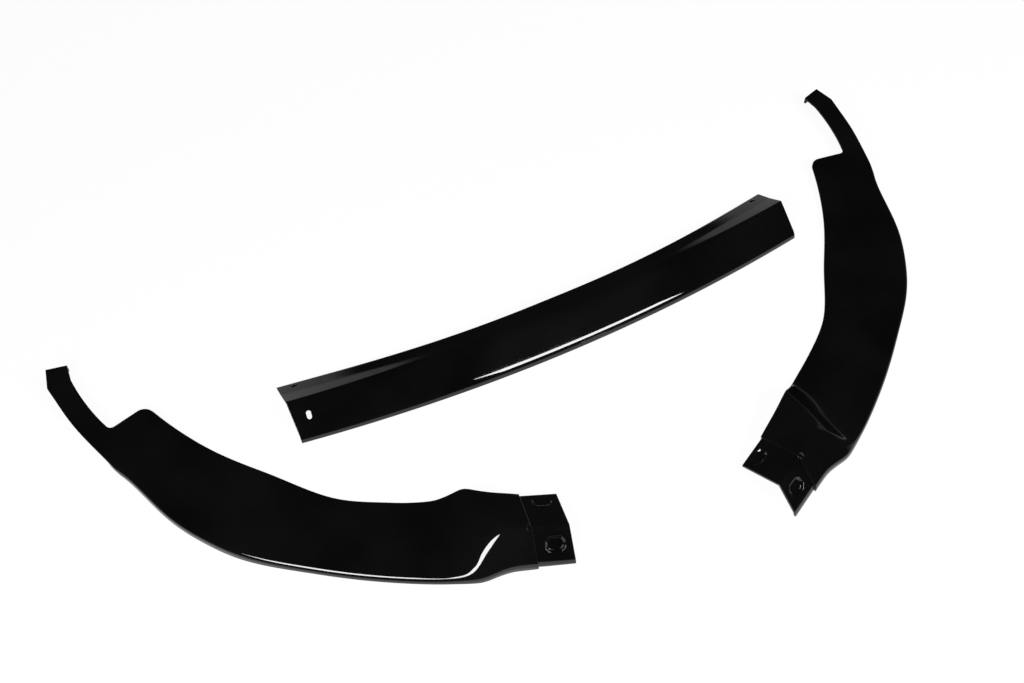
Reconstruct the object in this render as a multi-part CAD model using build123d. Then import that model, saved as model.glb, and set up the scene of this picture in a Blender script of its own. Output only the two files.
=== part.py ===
from build123d import *
import os
from math import acos, atan2, cos, degrees, radians, sin, tan

# Front splitter lip in three gloss mouldings, laid out apart on the floor: a bowed centre section and
# two mirrored wings. Each wing's tab tucks under an end of the centre section, where all three share
# one folded section: rear flange, ridge, front blade and a short downturned lip.
# Millimetres. X runs to the right, Y away from the viewer, Z up from the floor.

# Wall and the folded section at the joints
WALL = 3.0
FLANGE_WIDTH = 59.5
BLADE_WIDTH = 50.0
LIP_DEPTH = 8.0
FOLD_ANGLE = 67.0
LIP_ANGLE = 46.0
RIDGE_RADIUS = 2.0
LIP_RADIUS = 14.0
INNER_RADIUS = 1.5

# Centre section: bow in plan, and the flatter, narrower flange at its middle
CENTRE_LENGTH = 737.0
CENTRE_BOW = 28.0
MIDDLE_FLANGE_WIDTH = 28.5
MIDDLE_FLANGE_SLOPE = 14.0
MIDDLE_RIDGE_RADIUS = 20.0
WIDTH_FADE = 2.5
SLOPE_FADE = 1.5
FLANGE_HOLLOW = 1.0
HOLLOW_RADIUS = 60.0
CENTRE_STATIONS = 7

# Fixings, measured from the end of the centre section and down each leaf from the ridge
FIXING_FROM_END = 20.5
BLADE_FIXING = 23.0
FLANGE_FIXING = 45.5
SLOT_WIDTH = 6.0
BLADE_SLOT_LENGTH = 11.0
FLANGE_SLOT_LENGTH = 9.0

# Wing: joint end, tab and the recessed seats on it. The centre section stops short of the wing by the gap.
WING_FLANGE_SLOPE = 21.5
JOINT_GAP = 4.0
TAB_LENGTH = 45.0
TAB_CLEARANCE = 0.3
TAB_ROOT = 8.0
TAB_DROOP = 4.0
TAB_FLANGE_INSET = 0.6
SEAT_LENGTH = 18.0
BLADE_SEAT_WIDTH = 14.0
FLANGE_SEAT_WIDTH = 11.0
SEAT_CHAMFER = 3.5
SEAT_DEPTH = 2.5
SEAT_FLARE = 50.0
NOTCH_LENGTH = 5.0
NOTCH_WIDTH = 6.0

# Wing: rolled rim along the front edge of the plate
RIM_ROLL = 4.2
RIM_SETBACK = 0.6
RIM_DROP = 3.9
RIM_RADIUS = 5.5

# Wing stations from the joint to past the tail, in the wing's own frame, whose origin is the ridge on the
# joint line: rear edge (x, y behind the joint's rear edge, z), foot of the front (x, y, z), crease and brow
# (inset from the foot, z) and the crease's radius. Along the plate these two are the rolled rim's.
RAMP_STATIONS = [
    ((-15, 3.6, 25), (-15, -32.6, -1), (33.6, 44.7), (0.2, 9), 9),
    ((-30, 7, 28), (-30, -30.8, -1), (34.8, 47), (0, 8.8), 20),
    ((-47, 11.3, 33), (-47, -32, -1), (30.5, 41.4), (0, 8), 32),
    ((-63, 15.4, 39), (-64, -34.6, -1), (18.6, 27), (0.3, 7.5), 38),
    ((-74, 18, 30), (-80, -32.4, -1), (6.3, 12), (0.6, 5.6), 10),
    ((-86, 21.2, 18), (-97, -28.4, -1), (4.6, 8.8), (0.6, 4.6), 6.5),
    ((-99, 24.8, 8), (-113, -24.5, -1), (4.3, 8.3), (0.6, 4.4), 6),
]
# Rear edge and foot as above, and the height of the front edge of the plate
PLATE_STATIONS = [
    ((-114, 29, 3.8), (-130, -19.8, -1), 8.2),
    ((-155, 39.6, 3.5), (-185, -1.7, -1), 8.2),
    ((-216, 62.6, 3.2), (-265, 31.7, -1), 8.8),
    ((-281, 111.6, 3.2), (-338, 69.6, -1), 11.5),
    ((-346, 161.9, 6.5), (-405, 131.2, 3), 14.5),
    ((-401, 220, 12), (-460, 212, 6), 17.5),
    ((-437, 269.6, 17), (-508, 260, 8), 19.5),
    ((-475, 344.6, 22), (-580, 355, 11), 24),
]
STATION_STEPS = 2

# Wing tail: plan outline from the lug round the tip to the end of the rim
LUG_REAR = (-413.5, 290.5)
LUG_FRONT = (-431, 294)
TAIL_NOTCH = (-466, 274.5)
TAIL_INNER_MIDDLE = (-493.3, 322)
TIP_BEND_INNER = (-508, 360)
TIP_INNER = (-511, 381.8)
TIP_OUTER = (-537.5, 381)
TIP_BEND_OUTER = (-537, 352)
TAIL_OUTER = [(-509.4, 291.2), (-480, 242.2)]
RIM_END = (-452, 199.6)
NOTCH_RADIUS = 7.0
TIP_FLANGE_DEPTH = 10.0
TIP_HEIGHT = 22.5

# Where the pieces lie on the floor, as the photograph shows them
CENTRE_ANGLE = 26.75
LEFT_ANGLE = 14.93
RIGHT_ANGLE = 44.38
LEFT_FROM_END = (303.5, -174.5)
RIGHT_FROM_END = (-32.3, -413.3)


def offset_line(points, distance):
    """The corners of a line moved by a distance to its right."""
    sides = [Vector(b) - Vector(a) for a, b in zip(points, points[1:])]
    normals = [Vector(side.Y, -side.X).normalized() for side in sides]
    before = [normals[0]] + normals
    after = normals + [normals[-1]]
    return [
        Vector(p) + (m + n) * (distance / (1 + m.dot(n)))
        for p, m, n in zip(points, before, after)
    ]


def eased(points, radii):
    """The line with each inner corner cut off by the tangent at the middle of its rounding."""
    result = [Vector(points[0])]
    for before, corner, after, radius in zip(points, points[1:], points[2:], radii):
        back = (Vector(before) - Vector(corner)).normalized()
        ahead = (Vector(after) - Vector(corner)).normalized()
        turn = acos(-back.dot(ahead))
        cut = radius * (tan(turn / 2) - tan(turn / 4))
        result += [Vector(corner) + back * cut, Vector(corner) + ahead * cut]
    return result + [Vector(points[-1])]


def walled(points, radii):
    """Section of a wall below a line that runs forward, rounded above and with flats inside the corners."""
    inner = offset_line(eased(points, [max(radius, WALL + INNER_RADIUS) for radius in radii]), WALL)
    corners = [0, *radii, 0] + [0] * len(inner)
    return make_face(FilletPolyline(*points, *reversed(inner), radius=corners, close=True))


def folded_line(flange, slope, blade_slope):
    """Rear edge, ridge, brow and foot of the folded section, as (forward, up) from the ridge."""
    flange_angle, blade_angle = radians(slope), radians(blade_slope)
    lip_angle = radians(blade_slope + LIP_ANGLE)
    rear = Vector(-flange * cos(flange_angle), -flange * sin(flange_angle))
    brow = Vector(BLADE_WIDTH * cos(blade_angle), -BLADE_WIDTH * sin(blade_angle))
    foot = brow + Vector(LIP_DEPTH * cos(lip_angle), -LIP_DEPTH * sin(lip_angle))
    return [rear, Vector(0, 0), brow, foot]


def resting_slope():
    """Flange slope at which the rear edge and the foot of the folded section touch one floor."""
    fold, lip = radians(FOLD_ANGLE), radians(FOLD_ANGLE + LIP_ANGLE)
    rise = BLADE_WIDTH * sin(fold) + LIP_DEPTH * sin(lip)
    run = FLANGE_WIDTH + BLADE_WIDTH * cos(fold) + LIP_DEPTH * cos(lip)
    return degrees(atan2(rise, run))


def section_plane(origin, forward):
    """Upright plane at a point, with its x along forward and its y up."""
    return Plane(origin, x_dir=forward, z_dir=Vector(forward).cross(Vector(0, 0, 1)))


def leaf_plane(ridge, lengthwise, down):
    """Plane on a leaf of the folded section, x along the piece and y down the leaf from the ridge."""
    return Plane(ridge, x_dir=lengthwise, z_dir=Vector(lengthwise).cross(Vector(down)))


def above_floor(part):
    """The part with anything below the floor trimmed off."""
    box = part.bounding_box()
    below = Box(box.size.X + 2, box.size.Y + 2, 10, align=(Align.CENTER, Align.CENTER, Align.MAX))
    return part - Pos(box.center().X, box.center().Y, 0) * below


# Centre section
def centre_line(x):
    """Section line of the centre section at x, with the place of its ridge."""
    along = abs(x) / (CENTRE_LENGTH / 2)
    end_slope = resting_slope()
    slope = MIDDLE_FLANGE_SLOPE + (end_slope - MIDDLE_FLANGE_SLOPE) * along**SLOPE_FADE
    flange = MIDDLE_FLANGE_WIDTH + (FLANGE_WIDTH - MIDDLE_FLANGE_WIDTH) * along**WIDTH_FADE
    line = folded_line(flange, slope, FOLD_ANGLE - end_slope)
    ridge = Vector(x, CENTRE_BOW * along**2, -line[-1].Y)
    radius = MIDDLE_RIDGE_RADIUS + (RIDGE_RADIUS - MIDDLE_RIDGE_RADIUS) * along**SLOPE_FADE
    return line, ridge, radius


def centre_face(x):
    """Walled section of the centre section at x."""
    line, ridge, radius = centre_line(x)
    rear, crest = line[0], line[1]
    hollow = (rear + crest) * 0.5 - Vector(rear.Y, -rear.X).normalized() * FLANGE_HOLLOW
    face = walled([rear, hollow, *line[1:]], [HOLLOW_RADIUS, radius, LIP_RADIUS])
    return section_plane(ridge, (0, -1, 0)) * face


def centre_fixings(end):
    """Cutters for the slots at one end, -1 or 1, of the centre section. Only the left blade has one."""
    x = end * (CENTRE_LENGTH / 2 - FIXING_FROM_END)
    line, ridge, _ = centre_line(x)
    lengthwise = Vector(1, 2 * CENTRE_BOW * x / (CENTRE_LENGTH / 2) ** 2, 0).normalized()
    slots = [(line[0], FLANGE_FIXING, FLANGE_SLOT_LENGTH, 0)]
    if end < 0:
        slots.append((line[2], BLADE_FIXING, BLADE_SLOT_LENGTH, 90))
    cutters = []
    for leaf, distance, length, turn in slots:
        down = Vector(0, -leaf.X, leaf.Y).normalized()
        plane = leaf_plane(ridge + down * distance, lengthwise, down)
        cutters.append(extrude(plane * SlotOverall(length, SLOT_WIDTH, rotation=turn), 2 * WALL, both=True))
    return cutters


def build_centre():
    """The centre section in its own frame, ridge over the origin at its middle."""
    step = CENTRE_LENGTH / (CENTRE_STATIONS - 1)
    faces = [centre_face(i * step - CENTRE_LENGTH / 2) for i in range(CENTRE_STATIONS)]
    return above_floor(loft(faces) - centre_fixings(-1) - centre_fixings(1))


# Wing
def wing_joint_line():
    """Section line of the wing at the joint, as (forward, z) from the ridge, standing on the floor."""
    line = folded_line(FLANGE_WIDTH, WING_FLANGE_SLOPE, FOLD_ANGLE - WING_FLANGE_SLOPE)
    return [point + Vector(0, -line[-1].Y) for point in line]


def wing_stations():
    """Every station as one list of numbers: rear edge, foot, crease, brow and the radii of those two."""
    joint_rear, ridge, brow, foot = wing_joint_line()
    crease_inset, brow_inset = foot.X - ridge.X, foot.X - brow.X
    joint = [0, -joint_rear.X, joint_rear.Y, 0, -foot.X, foot.Y, crease_inset, ridge.Y, brow_inset, brow.Y]
    stations = [joint + [RIDGE_RADIUS, LIP_RADIUS]]
    for i, ((x, behind, z), foot, crease, brow, radius) in enumerate(RAMP_STATIONS):
        lip_radius = LIP_RADIUS + (RIM_RADIUS - LIP_RADIUS) * (i + 1) / (len(RAMP_STATIONS) + 1)
        stations.append([x, behind - joint_rear.X, z, *foot, *crease, *brow, radius, lip_radius])
    for (x, behind, z), foot, height in PLATE_STATIONS:
        rim = [RIM_ROLL, height, RIM_SETBACK, height - RIM_DROP, RIM_RADIUS, RIM_RADIUS]
        stations.append([x, behind - joint_rear.X, z, *foot, *rim])
    return stations


def smoothed(rows, steps):
    """The rows with steps to each gap, on a curve through them whose slopes come from their neighbours."""
    gaps = [sum((b - a) ** 2 for a, b in zip(p, q)) ** 0.5 for p, q in zip(rows, rows[1:])]
    rates = [[(b - a) / gap for a, b in zip(p, q)] for p, q, gap in zip(rows, rows[1:], gaps)]
    slopes = [rates[0]]
    for g, h, r, s in zip(gaps, gaps[1:], rates, rates[1:]):
        slopes.append([(a * h + b * g) / (g + h) for a, b in zip(r, s)])
    slopes.append(rates[-1])
    result = []
    for i, gap in enumerate(gaps):
        for step in range(steps):
            u = step / steps
            weights = (
                1 - 3 * u**2 + 2 * u**3,
                3 * u**2 - 2 * u**3,
                (u - 2 * u**2 + u**3) * gap,
                (u**3 - u**2) * gap,
            )
            columns = zip(rows[i], rows[i + 1], slopes[i], slopes[i + 1])
            result.append([sum(w * v for w, v in zip(weights, column)) for column in columns])
    return result + [rows[-1]]


def wing_face(row):
    """Walled section of the wing at a station."""
    rear, foot = Vector(*row[0:3]), Vector(*row[3:6])
    forward = Vector(foot.X - rear.X, foot.Y - rear.Y)
    line = [(-forward.length, rear.Z), (-row[6], row[7]), (-row[8], row[9]), (0, foot.Z)]
    return section_plane((foot.X, foot.Y, 0), forward) * walled(line, row[10:12])


def tail_cutter():
    """Prism over everything outside the outline of the lug, notch, tail and tip."""
    beyond = [(-500, 190), (-640, 300), (-640, 460), (-395, 460), LUG_REAR]
    towards_lug = Vector(*LUG_FRONT) - Vector(*TAIL_NOTCH)
    outline = make_face(
        Line(TAIL_NOTCH, LUG_FRONT)
        + TangentArc(LUG_FRONT, LUG_REAR, tangent=towards_lug)
        + ThreePointArc(TAIL_NOTCH, TAIL_INNER_MIDDLE, TIP_BEND_INNER)
        + Polyline(TIP_BEND_INNER, TIP_INNER, TIP_OUTER, TIP_BEND_OUTER)
        + Spline(TIP_BEND_OUTER, *TAIL_OUTER, RIM_END)
        + Polyline(RIM_END, *beyond)
    )
    for corner in (TAIL_NOTCH, TIP_BEND_OUTER):
        outline = fillet(outline.vertices().sort_by_distance(corner)[0], NOTCH_RADIUS)
    return extrude(outline, 60)


def tip_flange():
    """Downturned flange across the tip of the tail."""
    outer, inner = Vector(*TIP_OUTER), Vector(*TIP_INNER)
    across = (outer - inner).normalized()
    inward = Vector(-across.Y, across.X)
    strip = make_face(Polyline(inner, outer, outer + inward * WALL, inner + inward * WALL, close=True))
    return Pos(0, 0, TIP_HEIGHT - TIP_FLANGE_DEPTH) * extrude(strip, TIP_FLANGE_DEPTH - WALL / 2)


def tab_line():
    """Section line of the tab: the joint's, drawn in so that the centre section laps over it."""
    rear, ridge, brow, foot = wing_joint_line()
    rear += (ridge - rear).normalized() * TAB_FLANGE_INSET
    return offset_line([rear, ridge, brow, foot], WALL - TAB_CLEARANCE)


def tab_direction():
    """Run of the tab away from the wing, turned to follow the bowed end of the centre section."""
    turn, droop = atan2(4 * CENTRE_BOW, CENTRE_LENGTH), radians(TAB_DROOP)
    return Vector(cos(turn) * cos(droop), -sin(turn) * cos(droop), -sin(droop))


def build_tab():
    """Joggled tab with its two recessed seats, each over a pad that keeps the wall."""
    run = tab_direction()
    line = tab_line()
    face = section_plane((0, 0, 0), (0, -1, 0)) * walled(line, [RIDGE_RADIUS, LIP_RADIUS])
    tab = extrude(Pos(*(run * -TAB_ROOT)) * face, TAB_LENGTH + TAB_ROOT, dir=run)
    ridge = Vector(0, -line[1].X, line[1].Y) + run * (JOINT_GAP + FIXING_FROM_END)
    for leaf, distance, width in (
        (line[2], BLADE_FIXING, BLADE_SEAT_WIDTH),
        (line[0], FLANGE_FIXING, FLANGE_SEAT_WIDTH),
    ):
        down = Vector(0, -(leaf.X - line[1].X), leaf.Y - line[1].Y).normalized()
        plane = leaf_plane(ridge + down * distance, run, down)
        if plane.z_dir.Z < 0:
            plane = -plane
        seat = chamfer(Rectangle(SEAT_LENGTH, width).vertices(), SEAT_CHAMFER)
        floor = Pos(0, 0, -SEAT_DEPTH)
        pad = offset(seat, WALL, kind=Kind.INTERSECTION)
        tab += plane * floor * Pos(0, 0, -WALL) * extrude(pad, SEAT_DEPTH + WALL / 2)
        tab -= plane * floor * extrude(seat, SEAT_DEPTH, taper=-SEAT_FLARE)
    return tab


def build_wing():
    """A wing whose tail points to -X, in its own frame with the ridge of the joint over the origin."""
    faces = [wing_face(row) for row in smoothed(wing_stations(), STATION_STEPS)]
    plate = loft(faces) - tail_cutter() + tip_flange()
    ridge = wing_joint_line()[1]
    notch = Box(2 * NOTCH_LENGTH, NOTCH_WIDTH, 2 * WALL)
    plate -= Pos(0, 0, ridge.Y) * notch
    return above_floor(plate + build_tab())


centre = build_centre()
wing = build_wing()

# Lay the pieces out, with the wings placed from the ends of the centre section
centre_turn = Rot(0, 0, CENTRE_ANGLE)
left_end = centre_turn * Pos(-CENTRE_LENGTH / 2, CENTRE_BOW, 0)
right_end = centre_turn * Pos(CENTRE_LENGTH / 2, CENTRE_BOW, 0)
left_place = Pos(*LEFT_FROM_END, 0) * Pos(left_end.position) * Rot(0, 0, LEFT_ANGLE)
right_place = Pos(*RIGHT_FROM_END, 0) * Pos(right_end.position) * Rot(0, 0, RIGHT_ANGLE)
pieces = {
    "centre_section": centre_turn * centre,
    "left_wing": left_place * wing,
    "right_wing": right_place * mirror(wing, Plane.YZ),
}

# The origin is the middle of the whole layout, on the floor that every piece is trimmed to
layout = Compound(children=[Part(piece.wrapped) for piece in pieces.values()]).bounding_box()
to_origin = Pos(-layout.center().X, -layout.center().Y, 0)
os.makedirs("parts", exist_ok=True)
for name, piece in pieces.items():
    export_step(to_origin * piece, f"parts/{name}.step")
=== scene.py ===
from math import acos, atan2, cos, degrees, pi, radians, sin, tan

import bmesh
import bpy
import numpy as np
from mathutils import Matrix, Quaternion, Vector


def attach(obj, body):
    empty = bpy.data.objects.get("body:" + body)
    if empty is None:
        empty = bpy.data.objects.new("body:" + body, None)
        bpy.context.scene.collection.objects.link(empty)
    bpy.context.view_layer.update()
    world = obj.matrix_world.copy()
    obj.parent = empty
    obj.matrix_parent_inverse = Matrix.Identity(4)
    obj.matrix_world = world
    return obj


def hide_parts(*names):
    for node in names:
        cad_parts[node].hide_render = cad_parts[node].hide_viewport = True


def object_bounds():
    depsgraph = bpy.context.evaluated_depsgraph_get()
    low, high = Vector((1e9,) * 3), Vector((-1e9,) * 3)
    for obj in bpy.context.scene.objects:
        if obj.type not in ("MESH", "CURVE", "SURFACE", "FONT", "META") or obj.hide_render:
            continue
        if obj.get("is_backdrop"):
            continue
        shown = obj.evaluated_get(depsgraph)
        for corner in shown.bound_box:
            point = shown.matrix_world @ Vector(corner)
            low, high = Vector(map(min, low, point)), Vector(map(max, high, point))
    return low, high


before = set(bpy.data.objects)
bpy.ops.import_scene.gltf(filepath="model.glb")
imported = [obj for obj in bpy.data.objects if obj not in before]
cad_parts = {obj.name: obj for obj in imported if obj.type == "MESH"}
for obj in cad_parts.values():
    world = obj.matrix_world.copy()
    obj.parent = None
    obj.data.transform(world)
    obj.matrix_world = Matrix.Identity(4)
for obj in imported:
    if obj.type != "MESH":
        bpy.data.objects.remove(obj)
cad_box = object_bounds()

# Sizes of the part in millimetres and degrees, as in its source
WALL = 3.0
FLANGE_WIDTH = 59.5
BLADE_WIDTH = 50.0
LIP_DEPTH = 8.0
FOLD_ANGLE = 67.0
LIP_ANGLE = 46.0
RIDGE_RADIUS = 2.0
LIP_RADIUS = 14.0
INNER_RADIUS = 1.5

CENTRE_LENGTH = 737.0
CENTRE_BOW = 28.0
MIDDLE_FLANGE_WIDTH = 28.5
MIDDLE_FLANGE_SLOPE = 14.0
MIDDLE_RIDGE_RADIUS = 20.0
WIDTH_FADE = 2.5
SLOPE_FADE = 1.5
FLANGE_HOLLOW = 1.0
HOLLOW_RADIUS = 60.0

FIXING_FROM_END = 20.5
BLADE_FIXING = 23.0
FLANGE_FIXING = 45.5
SLOT_WIDTH = 6.0
BLADE_SLOT_LENGTH = 11.0
FLANGE_SLOT_LENGTH = 9.0

WING_FLANGE_SLOPE = 21.5
JOINT_GAP = 4.0
TAB_LENGTH = 45.0
TAB_CLEARANCE = 0.3
TAB_ROOT = 8.0
TAB_DROOP = 4.0
TAB_FLANGE_INSET = 0.6
SEAT_LENGTH = 18.0
BLADE_SEAT_WIDTH = 14.0
FLANGE_SEAT_WIDTH = 11.0
SEAT_CHAMFER = 3.5
SEAT_DEPTH = 2.5
SEAT_FLARE = 50.0
NOTCH_LENGTH = 5.0
NOTCH_WIDTH = 6.0

RIM_ROLL = 4.2
RIM_SETBACK = 0.6
RIM_DROP = 3.9
RIM_RADIUS = 5.5

# Rear edge (x, y behind the joint's, z), foot, crease and brow (inset from the foot, z), crease radius
RAMP_STATIONS = [
    ((-15, 3.6, 25), (-15, -32.6, -1), (33.6, 44.7), (0.2, 9), 9),
    ((-30, 7, 28), (-30, -30.8, -1), (34.8, 47), (0, 8.8), 20),
    ((-47, 11.3, 33), (-47, -32, -1), (30.5, 41.4), (0, 8), 32),
    ((-63, 15.4, 39), (-64, -34.6, -1), (18.6, 27), (0.3, 7.5), 38),
    ((-74, 18, 30), (-80, -32.4, -1), (6.3, 12), (0.6, 5.6), 10),
    ((-86, 21.2, 18), (-97, -28.4, -1), (4.6, 8.8), (0.6, 4.6), 6.5),
    ((-99, 24.8, 8), (-113, -24.5, -1), (4.3, 8.3), (0.6, 4.4), 6),
]
# Rear edge and foot as above, and the height of the front edge of the plate
PLATE_STATIONS = [
    ((-114, 29, 3.8), (-130, -19.8, -1), 8.2),
    ((-155, 39.6, 3.5), (-185, -1.7, -1), 8.2),
    ((-216, 62.6, 3.2), (-265, 31.7, -1), 8.8),
    ((-281, 111.6, 3.2), (-338, 69.6, -1), 11.5),
    ((-346, 161.9, 6.5), (-405, 131.2, 3), 14.5),
    ((-401, 220, 12), (-460, 212, 6), 17.5),
    ((-437, 269.6, 17), (-508, 260, 8), 19.5),
    ((-475, 344.6, 22), (-580, 355, 11), 24),
]

LUG_REAR = (-413.5, 290.5)
LUG_FRONT = (-431, 294)
TAIL_NOTCH = (-466, 274.5)
TAIL_INNER_MIDDLE = (-493.3, 322)
TIP_BEND_INNER = (-508, 360)
TIP_INNER = (-511, 381.8)
TIP_OUTER = (-537.5, 381)
TIP_BEND_OUTER = (-537, 352)
TAIL_OUTER = [(-509.4, 291.2), (-480, 242.2)]
RIM_END = (-452, 199.6)
NOTCH_RADIUS = 7.0
TIP_FLANGE_DEPTH = 10.0
TIP_HEIGHT = 22.5

CENTRE_ANGLE = 26.75
LEFT_ANGLE = 14.93
RIGHT_ANGLE = 44.38
LEFT_FROM_END = (303.5, -174.5)
RIGHT_FROM_END = (-32.3, -413.3)

# Softening of what the source leaves sharp, and the steps that the wing is drawn out by at its tip
EDGE_RADIUS = 0.7
CREST_SOFTNESS = 4.5
WIDTHS_TO_END = 3
SHARP_ANGLE = 38
TIP_SURPLUS = 4

# Fineness of the meshes
CENTRE_STEPS = 260
STATION_STEPS = 2
WING_STEPS = 7
TAB_STEPS = 16
RUN_STEPS = 6
ARC_STEPS = 18
EDGE_STEPS = 4

# Reach of the cutters past what they cut, and the points of the tail's curves that rounded corners replace
CUT_BELOW = -5
CUT_ABOVE = 60
SEAT_CUT_ABOVE = 0.01
TAIL_SURROUND = [(-500, 190), (-640, 300), (-640, 460), (-395, 460)]
CORNER_POINTS = 6

# Millimetres in a metre
METRE = 1000

# Paint, in metres. A noise has a scale and a detail, and its contrast is the range that counts
PAINT_IOR = 1.52
BLACK_NOISE = (9, 3)
BLACK_CONTRAST = (0.35, 0.65)
DEEP_BLACK = (0.0006, 0.0006, 0.0007, 1)
PALE_BLACK = (0.0021, 0.0021, 0.0024, 1)
HAZE_NOISE = (14, 4)
HAZE_CONTRAST = (0.35, 0.75)
ROUGHNESS = (0.02, 0.045)
RIPPLE_NOISE = (60, 1)
RIPPLE_STRENGTH = 0.012
RIPPLE_HEIGHT = 0.0005
PAINT_EDGE_RADIUS = 0.0008
PAINT_EDGE_SAMPLES = 6

# Dust, in cells to the metre, the share of them left clean and the largest speck's radius in cells
DUST_CELLS = 28
DUST_FREE = 0.82
DUST_SIZE = 0.028
DUST_COLOUR = (0.014, 0.014, 0.014, 1)
DUST_ROUGHNESS = 0.5

# Floor and room. Painted shade: in reflections the floor dims along a direction, from near to far in
# metres, to the least
FLOOR_SIZE = 40
FLOOR_COLOUR = (0.9, 0.9, 0.9, 1)
FLOOR_GLOW = 0.95
SHADE_BEHIND_SET = ((-sin(radians(CENTRE_ANGLE)), cos(radians(CENTRE_ANGLE)), 0), -0.08, 0.03, 0.3)
SHADE_RIGHT_OF_SET = ((1, 0, 0), 0.45, 0.6, 0.08)
HORIZON_GLOW = 0.3
HORIZON_HEIGHT = 0.14
HORIZON_FADE = (0.7, 0.9)
ROOM_LIGHT = 0.035
WHITE = (1, 1, 1, 1)

# Lamps: their brightness, and the watts to the square metre that give a brightness of one
LAMP_BRIGHTNESS = 17
LAMP_WATTS = 4

# Camera, in metres and degrees
CAMERA_PLACE = (0.0260, -0.9617, 1.304)
CAMERA_TILT = 34.84
CAMERA_LENS = 42.3


# Sections
def unit(vector):
    """The vector with a length of one."""
    return vector / np.linalg.norm(vector)


def offset_line(points, distance):
    """The corners of a line moved by a distance to its right."""
    points = np.array(points, float)
    sides = [unit(side) for side in np.diff(points, axis=0)]
    normals = [np.array([side[1], -side[0]]) for side in sides]
    before = [normals[0]] + normals
    after = normals + [normals[-1]]
    return [p + (m + n) * distance / (1 + m @ n) for p, m, n in zip(points, before, after)]


def corner_frame(before, corner, after):
    """Directions to both neighbours of a corner, and the angle that the line turns there."""
    back, ahead = unit(before - corner), unit(after - corner)
    return back, ahead, acos(max(-1, min(1, -back @ ahead)))


def eased(points, radii):
    """The line with each inner corner cut off by the tangent at the middle of its rounding."""
    points = [np.array(point, float) for point in points]
    result = [points[0]]
    for before, corner, after, radius in zip(points, points[1:], points[2:], radii):
        back, ahead, turn = corner_frame(before, corner, after)
        cut = radius * (tan(turn / 2) - tan(turn / 4))
        result += [corner + back * cut, corner + ahead * cut]
    return result + [points[-1]]


def rounded_loop(points, radii, arc_steps):
    """Points round a closed outline with rounded corners, the same number for the same arc_steps."""
    points = [np.array(point, float) for point in points]
    entries, arcs, exits = [], [], []
    for i, (radius, steps) in enumerate(zip(radii, arc_steps)):
        before, corner, after = points[i - 1], points[i], points[(i + 1) % len(points)]
        back, ahead, turn = corner_frame(before, corner, after)
        reach = radius * tan(turn / 2)
        entry, leave = corner + back * reach, corner + ahead * reach
        centre = corner + unit(back + ahead) * radius / cos(turn / 2)
        shares = [(sin((1 - t) * turn), sin(t * turn)) for t in np.linspace(0, 1, steps + 1)]
        arc = [centre + (a * (entry - centre) + b * (leave - centre)) / sin(turn) for a, b in shares]
        entries.append(entry)
        arcs.append(arc)
        exits.append(leave)
    loop = []
    for i, arc in enumerate(arcs):
        following = entries[(i + 1) % len(entries)]
        loop += arc
        loop += [exits[i] + (following - exits[i]) * t for t in np.linspace(0, 1, RUN_STEPS + 1)[1:-1]]
    return loop


def walled(points, radii):
    """Closed section of a wall below a line that runs forward, rounded at every corner."""
    inner = offset_line(eased(points, [max(radius, WALL + INNER_RADIUS) for radius in radii]), WALL)
    inside = len(inner) - 2
    corner_radii = [EDGE_RADIUS, *radii, EDGE_RADIUS, EDGE_RADIUS, *[EDGE_RADIUS / 2] * inside, EDGE_RADIUS]
    steps = [EDGE_STEPS, *[ARC_STEPS] * len(radii), EDGE_STEPS, EDGE_STEPS, *[1] * inside, EDGE_STEPS]
    return rounded_loop([*points, *reversed(inner)], corner_radii, steps)


def folded_line(flange, slope, blade_slope):
    """Rear edge, ridge, brow and foot of the folded section, as (forward, up) from the ridge."""
    flange_angle, blade_angle = radians(slope), radians(blade_slope)
    lip_angle = radians(blade_slope + LIP_ANGLE)
    rear = np.array([-flange * cos(flange_angle), -flange * sin(flange_angle)])
    brow = np.array([BLADE_WIDTH * cos(blade_angle), -BLADE_WIDTH * sin(blade_angle)])
    foot = brow + np.array([LIP_DEPTH * cos(lip_angle), -LIP_DEPTH * sin(lip_angle)])
    return [rear, np.zeros(2), brow, foot]


def resting_slope():
    """Flange slope at which the rear edge and the foot of the folded section touch one floor."""
    fold, lip = radians(FOLD_ANGLE), radians(FOLD_ANGLE + LIP_ANGLE)
    rise = BLADE_WIDTH * sin(fold) + LIP_DEPTH * sin(lip)
    run = FLANGE_WIDTH + BLADE_WIDTH * cos(fold) + LIP_DEPTH * cos(lip)
    return degrees(atan2(rise, run))


# Mesh building
def outward(mesh):
    """The closed mesh with its faces turned outward."""
    work = bmesh.new()
    work.from_mesh(mesh)
    if work.calc_volume(signed=True) < 0:
        bmesh.ops.reverse_faces(work, faces=work.faces)
    work.to_mesh(mesh)
    work.free()
    return mesh


def tube(name, loops, lowest=0):
    """Closed mesh through a row of closed loops, with both ends capped, kept above the lowest height."""
    mesh = bpy.data.meshes.new(name)
    count = len(loops[0])
    points = [(x, y, max(z, lowest)) for loop in loops for x, y, z in loop]
    faces = []
    for i in range(len(loops) - 1):
        for j in range(count):
            k = (j + 1) % count
            faces.append((i * count + j, (i + 1) * count + j, (i + 1) * count + k, i * count + k))
    faces.append(tuple(range(count)))
    faces.append(tuple(range(len(points) - 1, len(points) - count - 1, -1)))
    mesh.from_pydata(points, [], faces)
    return outward(mesh)


def prism(name, outline, low, high, spread=0):
    """Mesh of a prism on the XY plane, its top widened on every side by spread."""
    outline = [np.array(point, float) for point in outline]
    top = outline
    if spread:
        closed = [outline[-1], *outline, outline[0]]
        area = sum(a[0] * b[1] - a[1] * b[0] for a, b in zip(closed, closed[1:]))
        top = offset_line(closed, spread if area > 0 else -spread)[1:-1]
    return tube(name, [[(x, y, low) for x, y in outline], [(x, y, high) for x, y in top]], low)


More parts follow.
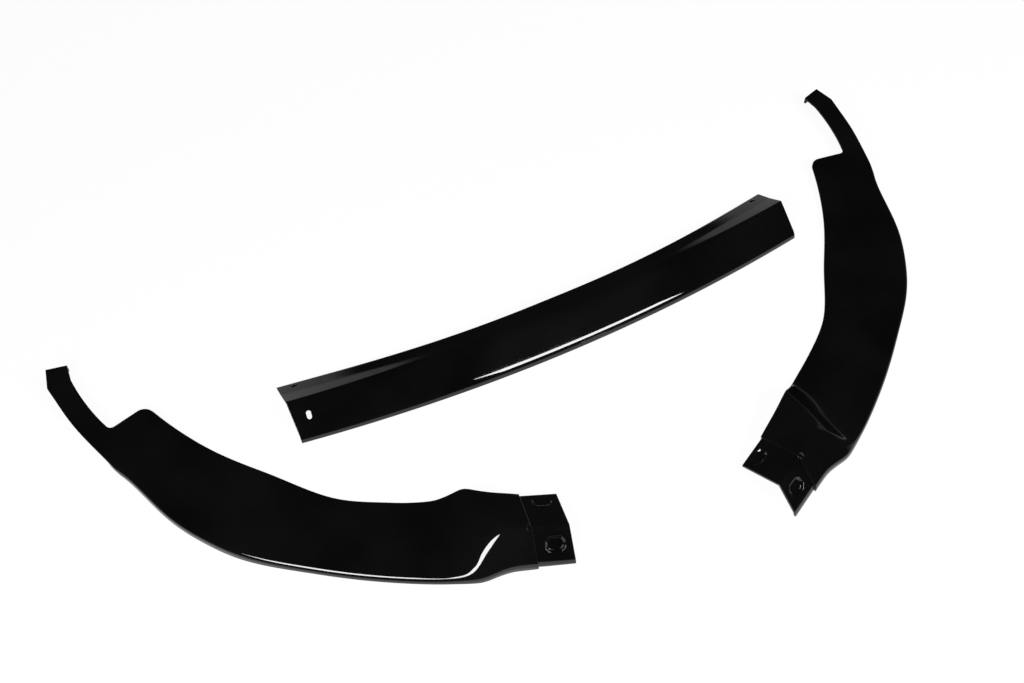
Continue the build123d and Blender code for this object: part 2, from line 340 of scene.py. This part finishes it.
def combined(mesh, operation, *others):
    """The mesh after a boolean with each of the others."""
    obj = bpy.data.objects.new("work", mesh)
    bpy.context.scene.collection.objects.link(obj)
    tools = []
    for other in others:
        tool = bpy.data.objects.new("tool", other)
        bpy.context.scene.collection.objects.link(tool)
        modifier = obj.modifiers.new("combine", "BOOLEAN")
        modifier.operation = operation
        modifier.solver = "EXACT"
        modifier.object = tool
        tools.append(tool)
    bpy.context.view_layer.update()
    result = bpy.data.meshes.new_from_object(obj.evaluated_get(bpy.context.evaluated_depsgraph_get()))
    for used in (obj, *tools):
        bpy.data.objects.remove(used)
    return result


def placed(mesh, origin, x_axis, z_axis):
    """The mesh moved from the origin's axes to those of a plane."""
    x_axis, z_axis = Vector(x_axis).normalized(), Vector(z_axis).normalized()
    y_axis = z_axis.cross(x_axis)
    turn = Matrix((x_axis, y_axis, z_axis)).transposed().to_4x4()
    mesh.transform(Matrix.Translation(Vector(origin)) @ turn)
    return mesh


def arc_points(start, middle, end, steps):
    """Points along the arc through three points."""
    start, middle, end = (np.array(point, float) for point in (start, middle, end))
    rows = np.array([middle - start, end - start])
    sums = np.array([middle @ middle - start @ start, end @ end - start @ start]) / 2
    centre = np.linalg.solve(rows, sums)
    first, last = (atan2(*(point - centre)[::-1]) for point in (start, end))
    sweep = (last - first + pi) % (2 * pi) - pi
    radius = np.linalg.norm(start - centre)
    angles = first + sweep * np.linspace(0, 1, steps + 1)
    return [centre + radius * np.array([cos(a), sin(a)]) for a in angles]


def smoothed(rows, steps):
    """The rows with steps to each gap, on a curve through them whose slopes come from their neighbours."""
    rows = np.array(rows, float)
    gaps = np.linalg.norm(np.diff(rows, axis=0), axis=1)
    rates = np.diff(rows, axis=0) / gaps[:, None]
    slopes = [rates[0]]
    for g, h, r, s in zip(gaps, gaps[1:], rates, rates[1:]):
        slopes.append((r * h + s * g) / (g + h))
    slopes.append(rates[-1])
    result = []
    for i, gap in enumerate(gaps):
        for u in np.arange(steps) / steps:
            result.append(
                rows[i] * (1 - 3 * u**2 + 2 * u**3)
                + rows[i + 1] * (3 * u**2 - 2 * u**3)
                + slopes[i] * (u - 2 * u**2 + u**3) * gap
                + slopes[i + 1] * (u**3 - u**2) * gap
            )
    return result + [rows[-1]]


def splined(rows, steps):
    """The rows with steps to each gap, on a curve through them whose bending has no jumps."""
    rows = np.array(rows, float)
    gaps = np.linalg.norm(np.diff(rows, axis=0), axis=1)
    rates = np.diff(rows, axis=0) / gaps[:, None]
    system = np.eye(len(rows))
    bends = np.zeros_like(rows)
    for i in range(1, len(rows) - 1):
        system[i, i - 1 : i + 2] = gaps[i - 1], 2 * (gaps[i - 1] + gaps[i]), gaps[i]
        bends[i] = 6 * (rates[i] - rates[i - 1])
    bends = np.linalg.solve(system, bends)
    result = []
    for i, gap in enumerate(gaps):
        for u in np.arange(steps) / steps:
            bending = bends[i] * ((1 - u) ** 3 - (1 - u)) + bends[i + 1] * (u**3 - u)
            result.append(rows[i] * (1 - u) + rows[i + 1] * u + bending * gap**2 / 6)
    return result + [rows[-1]]


def softened(rows, reach):
    """The rows averaged with their neighbours over a reach, which narrows to nothing at both ends."""
    rows = np.array(rows)
    along = np.concatenate([[0], np.cumsum(np.linalg.norm(np.diff(rows[:, :2], axis=0), axis=1))])
    spacing = np.gradient(along)
    result = [rows[0]]
    for place in along[1:-1]:
        width = min(reach, place / WIDTHS_TO_END, (along[-1] - place) / WIDTHS_TO_END)
        weights = np.exp(-(((along - place) / width) ** 2) / 2) * spacing
        result.append(weights @ rows / weights.sum())
    return result + [rows[-1]]


def slot_outline(length, width):
    """Outline of a slot along X."""
    radius, reach = width / 2, (length - width) / 2
    turns = np.linspace(-pi / 2, pi / 2, ARC_STEPS + 1)
    right = [(reach + radius * cos(a), radius * sin(a)) for a in turns]
    return right + [(-x, -y) for x, y in right]


# Centre section
def centre_line(x):
    """Section line of the centre section at x, with the place of its ridge and the ridge's radius."""
    along = abs(x) / (CENTRE_LENGTH / 2)
    end_slope = resting_slope()
    slope = MIDDLE_FLANGE_SLOPE + (end_slope - MIDDLE_FLANGE_SLOPE) * along**SLOPE_FADE
    flange = MIDDLE_FLANGE_WIDTH + (FLANGE_WIDTH - MIDDLE_FLANGE_WIDTH) * along**WIDTH_FADE
    line = folded_line(flange, slope, FOLD_ANGLE - end_slope)
    ridge = np.array([x, CENTRE_BOW * along**2, -line[-1][1]])
    radius = MIDDLE_RIDGE_RADIUS + (RIDGE_RADIUS - MIDDLE_RIDGE_RADIUS) * along**SLOPE_FADE
    return line, ridge, radius


def centre_loop(x):
    """Closed section of the centre section at x."""
    line, ridge, radius = centre_line(x)
    rear = line[0]
    hollow = rear / 2 - unit(np.array([rear[1], -rear[0]])) * FLANGE_HOLLOW
    section = walled([rear, hollow, *line[1:]], [HOLLOW_RADIUS, radius, LIP_RADIUS])
    return [(x, ridge[1] - forward, ridge[2] + up) for forward, up in section]


def centre_fixings(end):
    """Cutters for the slots at one end, -1 or 1, of the centre section. Only the left blade has one."""
    x = end * (CENTRE_LENGTH / 2 - FIXING_FROM_END)
    line, ridge, _ = centre_line(x)
    lengthwise = unit(np.array([1, 2 * CENTRE_BOW * x / (CENTRE_LENGTH / 2) ** 2, 0]))
    slots = [(line[0], FLANGE_FIXING, FLANGE_SLOT_LENGTH, False)]
    if end < 0:
        slots.append((line[2], BLADE_FIXING, BLADE_SLOT_LENGTH, True))
    cutters = []
    for leaf, distance, length, crosswise in slots:
        down = unit(np.array([0, -leaf[0], leaf[1]]))
        normal = np.cross(lengthwise, down)
        slot = prism("slot", slot_outline(length, SLOT_WIDTH), -2 * WALL, 2 * WALL)
        x_axis = np.cross(normal, lengthwise) if crosswise else lengthwise
        cutters.append(placed(slot, ridge + down * distance, x_axis, normal))
    return cutters


def centre_mesh():
    """The centre section in its own frame."""
    places = np.linspace(-CENTRE_LENGTH / 2, CENTRE_LENGTH / 2, CENTRE_STEPS + 1)
    shell = tube("centre", [centre_loop(x) for x in places])
    return combined(shell, "DIFFERENCE", *centre_fixings(-1), *centre_fixings(1))


# Wing
def wing_joint_line():
    """Section line of the wing at the joint, as (forward, z) from the ridge, standing on the floor."""
    line = folded_line(FLANGE_WIDTH, WING_FLANGE_SLOPE, FOLD_ANGLE - WING_FLANGE_SLOPE)
    return [point - np.array([0, line[-1][1]]) for point in line]


def wing_stations():
    """Every station as one list of numbers: rear edge, foot, crease, brow and the radii of those two."""
    joint_rear, ridge, joint_brow, joint_foot = wing_joint_line()
    insets = [joint_foot[0] - ridge[0], ridge[1], joint_foot[0] - joint_brow[0], joint_brow[1]]
    joint = [0, -joint_rear[0], joint_rear[1], 0, -joint_foot[0], joint_foot[1], *insets]
    stations = [joint + [RIDGE_RADIUS, LIP_RADIUS]]
    for i, ((x, behind, z), foot, crease, brow, radius) in enumerate(RAMP_STATIONS):
        lip_radius = LIP_RADIUS + (RIM_RADIUS - LIP_RADIUS) * (i + 1) / (len(RAMP_STATIONS) + 1)
        stations.append([x, behind - joint_rear[0], z, *foot, *crease, *brow, radius, lip_radius])
    for (x, behind, z), foot, height in PLATE_STATIONS:
        rim = [RIM_ROLL, height, RIM_SETBACK, height - RIM_DROP, RIM_RADIUS, RIM_RADIUS]
        stations.append([x, behind - joint_rear[0], z, *foot, *rim])
    return stations


def wing_loop(row):
    """Closed section of the wing at a station."""
    rear, foot, crease, brow, radii = np.split(row, [3, 6, 8, 10])
    forward = foot[:2] - rear[:2]
    ahead = unit(forward)
    line = [(-np.linalg.norm(forward), rear[2]), (-crease[0], crease[1]), (-brow[0], brow[1]), (0, foot[2])]
    return [(foot[0] + ahead[0] * f, foot[1] + ahead[1] * f, z) for f, z in walled(line, radii)]


def rounded_corner(before, corner, after, radius):
    """Points along the rounding of one corner."""
    before, corner, after = (np.array(point, float) for point in (before, corner, after))
    back, ahead, turn = corner_frame(before, corner, after)
    reach = radius * tan(turn / 2)
    middle = corner + unit(back + ahead) * radius * (1 / cos(turn / 2) - 1)
    return arc_points(corner + back * reach, middle, corner + ahead * reach, ARC_STEPS)


def tail_cutter():
    """Prism over everything outside the outline of the lug, notch, tail and tip."""
    lug_front, lug_rear, notch = (np.array(point, float) for point in (LUG_FRONT, LUG_REAR, TAIL_NOTCH))
    towards_lug = unit(lug_front - notch)
    normal = np.array([-towards_lug[1], towards_lug[0]])
    chord = lug_rear - lug_front
    lug_centre = lug_front + normal * (chord @ chord) / (2 * chord @ normal)
    bulge = unit(lug_front + chord / 2 - lug_centre) * np.linalg.norm(lug_front - lug_centre)
    lug = arc_points(lug_rear, lug_centre + bulge, lug_front, ARC_STEPS)
    inner = arc_points(TAIL_NOTCH, TAIL_INNER_MIDDLE, TIP_BEND_INNER, 2 * ARC_STEPS)
    outer = smoothed([TIP_BEND_OUTER, *TAIL_OUTER, RIM_END], ARC_STEPS)
    notch_corner = rounded_corner(lug[-1], inner[0], inner[CORNER_POINTS], NOTCH_RADIUS)
    tip_corner = rounded_corner(TIP_OUTER, outer[0], outer[CORNER_POINTS], NOTCH_RADIUS)
    tail = [*notch_corner, *inner[CORNER_POINTS:], TIP_INNER, TIP_OUTER]
    tail += [*tip_corner, *outer[CORNER_POINTS:]]
    return prism("tail", [*lug, *tail, *TAIL_SURROUND], CUT_BELOW, CUT_ABOVE)


def tip_flange():
    """Downturned flange across the tip of the tail."""
    outer, inner = np.array(TIP_OUTER), np.array(TIP_INNER)
    across = unit(outer - inner)
    inward = np.array([-across[1], across[0]]) * WALL
    low = TIP_HEIGHT - TIP_FLANGE_DEPTH
    return prism("tip", [inner, outer, outer + inward, inner + inward], low, TIP_HEIGHT - WALL / 2)


def seat_outline(width, grow=0):
    """Octagonal outline of a seat, grown on every side."""
    x, y = SEAT_LENGTH / 2 + grow, width / 2 + grow
    cut = SEAT_CHAMFER + grow * (2 - 2**0.5)
    return [
        (x - cut, -y), (x, cut - y), (x, y - cut), (x - cut, y),
        (cut - x, y), (-x, y - cut), (-x, cut - y), (cut - x, -y),
    ]


def tab_mesh():
    """Joggled tab with its two recessed seats, each over a pad that keeps the wall."""
    turn, droop = atan2(4 * CENTRE_BOW, CENTRE_LENGTH), radians(TAB_DROOP)
    run = np.array([cos(turn) * cos(droop), -sin(turn) * cos(droop), -sin(droop)])
    rear, ridge, brow, foot = wing_joint_line()
    rear = rear + unit(ridge - rear) * TAB_FLANGE_INSET
    line = offset_line([rear, ridge, brow, foot], WALL - TAB_CLEARANCE)
    section = np.array([(0, -forward, up) for forward, up in walled(line, [RIDGE_RADIUS, LIP_RADIUS])])
    shares = np.linspace(-TAB_ROOT, TAB_LENGTH, TAB_STEPS + 1)
    tab = tube("tab", [section + run * share for share in shares])
    fold = np.array([0, -line[1][0], line[1][1]]) + run * (JOINT_GAP + FIXING_FROM_END)
    pads, cuts = [], []
    for leaf, distance, width in (
        (line[2], BLADE_FIXING, BLADE_SEAT_WIDTH),
        (line[0], FLANGE_FIXING, FLANGE_SEAT_WIDTH),
    ):
        down = unit(np.array([0, line[1][0] - leaf[0], leaf[1] - line[1][1]]))
        normal = unit(np.cross(run, down))
        normal = normal if normal[2] > 0 else -normal
        place = (fold + down * distance, run, normal)
        spread = SEAT_DEPTH * tan(radians(SEAT_FLARE))
        pad = prism("pad", seat_outline(width, WALL), -SEAT_DEPTH - WALL, -WALL / 2)
        seat = prism("seat", seat_outline(width), -SEAT_DEPTH, SEAT_CUT_ABOVE, spread)
        pads.append(placed(pad, *place))
        cuts.append(placed(seat, *place))
    return combined(combined(tab, "UNION", *pads), "DIFFERENCE", *cuts)


def wing_mesh():
    """A wing whose tail points to -X, in its own frame with the ridge of the joint over the origin."""
    rows = softened(splined(smoothed(wing_stations(), STATION_STEPS), WING_STEPS), CREST_SOFTNESS)
    rows.append(rows[-1] + (rows[-1] - rows[-2]) * TIP_SURPLUS)
    shell = tube("wing", [wing_loop(row) for row in rows])
    ridge = wing_joint_line()[1]
    notch = [(NOTCH_LENGTH * x, NOTCH_WIDTH / 2 * y) for x, y in ((-1, -1), (1, -1), (1, 1), (-1, 1))]
    notch_cutter = prism("notch", notch, ridge[1] - WALL, CUT_ABOVE)
    shell = combined(shell, "DIFFERENCE", tail_cutter(), notch_cutter)
    return combined(shell, "UNION", tip_flange(), tab_mesh())


# Layout
def layout():
    """The three meshes on the floor, placed as the source places them."""
    turn = Matrix.Rotation(radians(CENTRE_ANGLE), 4, "Z")
    left_end = turn @ Vector((-CENTRE_LENGTH / 2, CENTRE_BOW, 0))
    right_end = turn @ Vector((CENTRE_LENGTH / 2, CENTRE_BOW, 0))
    left_place = Matrix.Translation(left_end + Vector((*LEFT_FROM_END, 0)))
    right_place = Matrix.Translation(right_end + Vector((*RIGHT_FROM_END, 0)))
    wing = wing_mesh()
    other_wing = wing.copy()
    other_wing.transform(Matrix.Scale(-1, 4, (1, 0, 0)))
    other_wing.flip_normals()
    meshes = {"centre_section": centre_mesh(), "left_wing": wing, "right_wing": other_wing}
    meshes["centre_section"].transform(turn)
    meshes["left_wing"].transform(left_place @ Matrix.Rotation(radians(LEFT_ANGLE), 4, "Z"))
    meshes["right_wing"].transform(right_place @ Matrix.Rotation(radians(RIGHT_ANGLE), 4, "Z"))
    points = np.array([v.co for mesh in meshes.values() for v in mesh.vertices]) / METRE
    shift = (np.sum(cad_box, axis=0) - points.min(axis=0) - points.max(axis=0)) / 2
    for mesh in meshes.values():
        mesh.transform(Matrix.Translation((shift[0], shift[1], 0)) @ Matrix.Scale(1 / METRE, 4))
    return meshes


# Shader nodes
def feed(tree, node, inputs):
    """Set inputs of a node to values, or link them to the sockets of other nodes."""
    for name, source in inputs.items():
        if isinstance(source, bpy.types.NodeSocket):
            tree.links.new(source, node.inputs[name])
        else:
            node.inputs[name].default_value = source


def added(tree, kind, inputs):
    """New node with its inputs set or linked."""
    node = tree.nodes.new(kind)
    feed(tree, node, inputs)
    return node


def computed(tree, operation, *values):
    """Result of an operation on numbers."""
    node = tree.nodes.new("ShaderNodeMath")
    node.operation = operation
    feed(tree, node, dict(enumerate(values)))
    return node.outputs[0]


def ranged(tree, value, before, after, interpolation="LINEAR"):
    """The value carried over from the range before to the range after."""
    node = tree.nodes.new("ShaderNodeMapRange")
    node.interpolation_type = interpolation
    feed(tree, node, {"Value": value, "From Min": before[0], "From Max": before[1]})
    feed(tree, node, {"To Min": after[0], "To Max": after[1]})
    return node.outputs["Result"]


def mixed(tree, kind, factor, first, second):
    """Mix of two colours or two numbers."""
    node = tree.nodes.new("ShaderNodeMix")
    node.data_type = kind
    feed(tree, node, {"Factor": factor, "A": first, "B": second})
    return node.outputs["Result"]


def noise(tree, place, scale, detail):
    """Soft noise by place."""
    node = added(tree, "ShaderNodeTexNoise", {"Vector": place, "Scale": scale, "Detail": detail})
    return node.outputs["Fac"]


# Materials and world
def gloss_black():
    """Gloss black paint with a faint unevenness, softened edges and specks of dust."""
    material = bpy.data.materials.new("gloss_black")
    material.use_nodes = True
    tree = material.node_tree
    place = added(tree, "ShaderNodeTexCoord", {}).outputs["Object"]

    # Dust: small round specks at sparse random places
    cells = added(tree, "ShaderNodeTexVoronoi", {"Vector": place, "Scale": DUST_CELLS})
    chance = added(tree, "ShaderNodeSeparateColor", {"Color": cells.outputs["Color"]})
    size = ranged(tree, chance.outputs["Red"], (DUST_FREE, 1), (0, DUST_SIZE))
    speck = computed(tree, "LESS_THAN", cells.outputs["Distance"], size)

    # Colour: black in soft patches, and paler on the specks
    patches = ranged(tree, noise(tree, place, *BLACK_NOISE), BLACK_CONTRAST, (0, 1))
    black = mixed(tree, "RGBA", patches, DEEP_BLACK, PALE_BLACK)
    colour = mixed(tree, "RGBA", speck, black, DUST_COLOUR)

    # Polish: slightly duller in soft patches and on the specks
    haze = ranged(tree, noise(tree, place, *HAZE_NOISE), HAZE_CONTRAST, ROUGHNESS)
    roughness = computed(tree, "MULTIPLY_ADD", speck, DUST_ROUGHNESS, haze)

    # Surface: edges rounded by the paint, and its faint waviness
    edges = added(tree, "ShaderNodeBevel", {"Radius": PAINT_EDGE_RADIUS})
    edges.samples = PAINT_EDGE_SAMPLES
    ripple = noise(tree, place, *RIPPLE_NOISE)
    bump = added(tree, "ShaderNodeBump", {"Height": ripple, "Normal": edges.outputs[0]})
    feed(tree, bump, {"Strength": RIPPLE_STRENGTH, "Distance": RIPPLE_HEIGHT})

    shader = tree.nodes["Principled BSDF"]
    feed(tree, shader, {"Base Color": colour, "Roughness": roughness})
    feed(tree, shader, {"IOR": PAINT_IOR, "Normal": bump.outputs[0]})
    return material


def white_floor():
    """White floor that shows plain white and keeps the shadow. Its mirrored glow falls to two sides as
    painted shade.
    """
    material = bpy.data.materials.new("floor")
    material.use_nodes = True
    tree = material.node_tree
    tree.nodes.clear()

    # Share of the glow for the rays that show the background
    path = added(tree, "ShaderNodeLightPath", {}).outputs
    seen = computed(tree, "ADD", path["Is Camera Ray"], path["Is Glossy Ray"])
    shown = computed(tree, "ADD", seen, path["Is Transmission Ray"])
    share = computed(tree, "MULTIPLY", shown, FLOOR_GLOW)

    # Painted shade: the mirrored glow falls off behind and to the right of the set
    place = added(tree, "ShaderNodeTexCoord", {}).outputs["Object"]
    shade_falls = []
    for direction, near, far, least in (SHADE_BEHIND_SET, SHADE_RIGHT_OF_SET):
        distance = tree.nodes.new("ShaderNodeVectorMath")
        distance.operation = "DOT_PRODUCT"
        feed(tree, distance, {0: place, 1: direction})
        shade_falls.append(ranged(tree, distance.outputs["Value"], (near, far), (1, least), "SMOOTHSTEP"))
    painted_reflected_shade = computed(tree, "MINIMUM", *shade_falls)
    strength = mixed(tree, "FLOAT", path["Is Glossy Ray"], 1, painted_reflected_shade)

    diffuse = added(tree, "ShaderNodeBsdfDiffuse", {"Color": FLOOR_COLOUR})
    glow = added(tree, "ShaderNodeEmission", {"Strength": strength})
    mix = added(tree, "ShaderNodeMixShader", {"Fac": share, 1: diffuse.outputs[0], 2: glow.outputs[0]})
    added(tree, "ShaderNodeOutputMaterial", {"Surface": mix.outputs[0]})
    return material


def studio_world():
    """Dark room with a faint glow just above the horizon behind the set, plain white to the camera."""
    world = bpy.data.worlds.new("studio")
    world.use_nodes = True
    tree = world.node_tree
    place = added(tree, "ShaderNodeTexCoord", {}).outputs["Generated"]
    axes = added(tree, "ShaderNodeSeparateXYZ", {"Vector": place}).outputs
    glow = ranged(tree, axes["Z"], (0, HORIZON_HEIGHT), (HORIZON_GLOW, 0), "SMOOTHSTEP")
    behind = ranged(tree, axes["Y"], HORIZON_FADE, (0, 1))
    room = computed(tree, "MULTIPLY_ADD", glow, behind, ROOM_LIGHT)
    path = added(tree, "ShaderNodeLightPath", {}).outputs
    seen = computed(tree, "MAXIMUM", room, path["Is Camera Ray"])
    shown = computed(tree, "MAXIMUM", seen, path["Is Transmission Ray"])
    feed(tree, tree.nodes["Background"], {"Color": WHITE, "Strength": shown})
    return world


# Lamps
def softbox(name, place, target, roll, size):
    """Rectangular lamp that faces a target, rolled about its axis, and is equally bright all over."""
    lamp = bpy.data.lights.new(name, "AREA")
    lamp.shape = "RECTANGLE"
    lamp.size, lamp.size_y = size
    lamp.energy = LAMP_BRIGHTNESS * LAMP_WATTS * size[0] * size[1]
    holder = bpy.data.objects.new(name, lamp)
    holder.location = place
    facing = (Vector(target) - Vector(place)).to_track_quat("-Z", "Y")
    holder.rotation_euler = (facing @ Quaternion((0, 0, 1), radians(roll))).to_euler()
    bpy.context.scene.collection.objects.link(holder)


# Pieces
paint = gloss_black()
for name, mesh in layout().items():
    mesh.materials.clear()
    mesh.materials.append(paint)
    mesh.polygons.foreach_set("use_smooth", [True] * len(mesh.polygons))
    mesh.set_sharp_from_angle(angle=radians(SHARP_ANGLE))
    piece = bpy.data.objects.new(f"{name}_skin", mesh)
    bpy.context.scene.collection.objects.link(piece)
    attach(piece, "root")
    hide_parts(name)

# Floor
bpy.ops.mesh.primitive_plane_add(size=FLOOR_SIZE, location=(0, 0, 0))
floor = bpy.context.object
floor.name = "floor"
floor.data.materials.append(white_floor())
floor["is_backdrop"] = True

# Light
scene = bpy.context.scene
scene.view_settings.view_transform = "Standard"
scene.world = studio_world()
softbox(
    "right_softbox",
    place=(1.643, -1.177, 1.713),
    target=(1.176, 0.559, 0.86),
    roll=8.6,
    size=(1.2, 0.975),
)
softbox(
    "left_softbox",
    place=(-0.427, -1.128, 0.976),
    target=(0.44, -0.477, 0.202),
    roll=-26.7,
    size=(0.533, 0.753),
)

# Camera
camera_data = bpy.data.cameras.new("camera")
camera_data.lens = CAMERA_LENS
camera = bpy.data.objects.new("camera", camera_data)
camera.location = CAMERA_PLACE
camera.rotation_euler = (radians(CAMERA_TILT), 0, 0)
scene.collection.objects.link(camera)
scene.camera = camera

boxes = {"cad": cad_box, "visual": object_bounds()}
boxes = {name: [[float(value) for value in corner] for corner in box] for name, box in boxes.items()}
